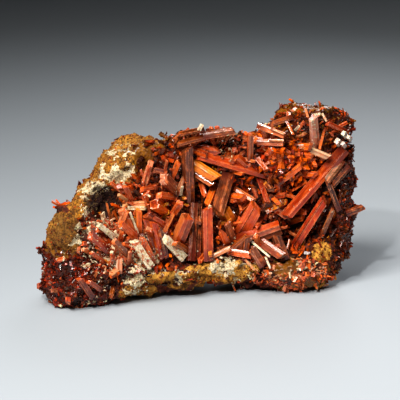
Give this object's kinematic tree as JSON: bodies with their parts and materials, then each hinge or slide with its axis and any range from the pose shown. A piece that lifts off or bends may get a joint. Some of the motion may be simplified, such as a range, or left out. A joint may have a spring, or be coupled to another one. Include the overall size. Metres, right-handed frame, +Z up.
{
  "type": "crocoite mineral specimen",
  "caption": "Crocoite on gossan: orange-red prisms jumbled in the hollow of a rough ochre rock, with crusts of small crystals; it stands on its flat feet.",
  "frame": {"origin": "centre of the bounding box, on the plane that the feet rest on", "axes": "+X along the specimen, +Z up, the display face looks towards -Y"},
  "size_m": [0.1086, 0.0522, 0.0601],
  "materials": {
    "crocoite_brown": "satin",
    "crocoite_pale": "satin",
    "crocoite_red": "satin",
    "druse": "satin",
    "gossan": "rough"
  },
  "bodies": {
    "root": {"big_brown_bar_cluster": "crocoite_brown", "crystal_cream_bar": "crocoite_pale", "crystal_crown_red": "crocoite_red", "crystal_crown_shoulder": "crocoite_brown", "crystal_crusted_bar": "crocoite_brown", "crystal_dark_column_right": "crocoite_brown", "crystal_flank_needle": "crocoite_pale", "crystal_foot_crystal": "crocoite_red", "crystal_olive_bar_behind": "crocoite_brown", "crystal_orange_wedge": "crocoite_red", "crystal_pale_bar": "crocoite_pale", "crystal_pale_crossing": "crocoite_pale", "crystal_pale_upright": "crocoite_pale", "crystal_pink_block": "crocoite_pale", "crystal_pink_stub": "crocoite_pale", "crystal_red_tooth": "crocoite_red", "crystal_rust_block": "crocoite_brown", "crystal_second_diagonal": "crocoite_red", "crystal_striped_lath": "crocoite_pale", "crystal_white_bar": "crocoite_pale", "crystal_white_lath": "crocoite_pale", "druse_crown": "druse", "druse_left_foot": "druse", "druse_lower_right": "druse", "druse_right_face": "druse", "druse_right_flank": "druse", "druse_shoulder": "druse", "druse_top_ridge": "druse", "fan_pink_cluster": "crocoite_pale", "gossan_matrix": "gossan", "long_diagonal_cluster": "crocoite_red", "lower_beam_cluster": "crocoite_red", "lower_beam_foot_cluster": "crocoite_red", "post_cluster": "crocoite_brown", "ridge_plate_cluster": "crocoite_brown", "two_tone_block_cluster": "crocoite_red"}
  },
  "joints": []
}
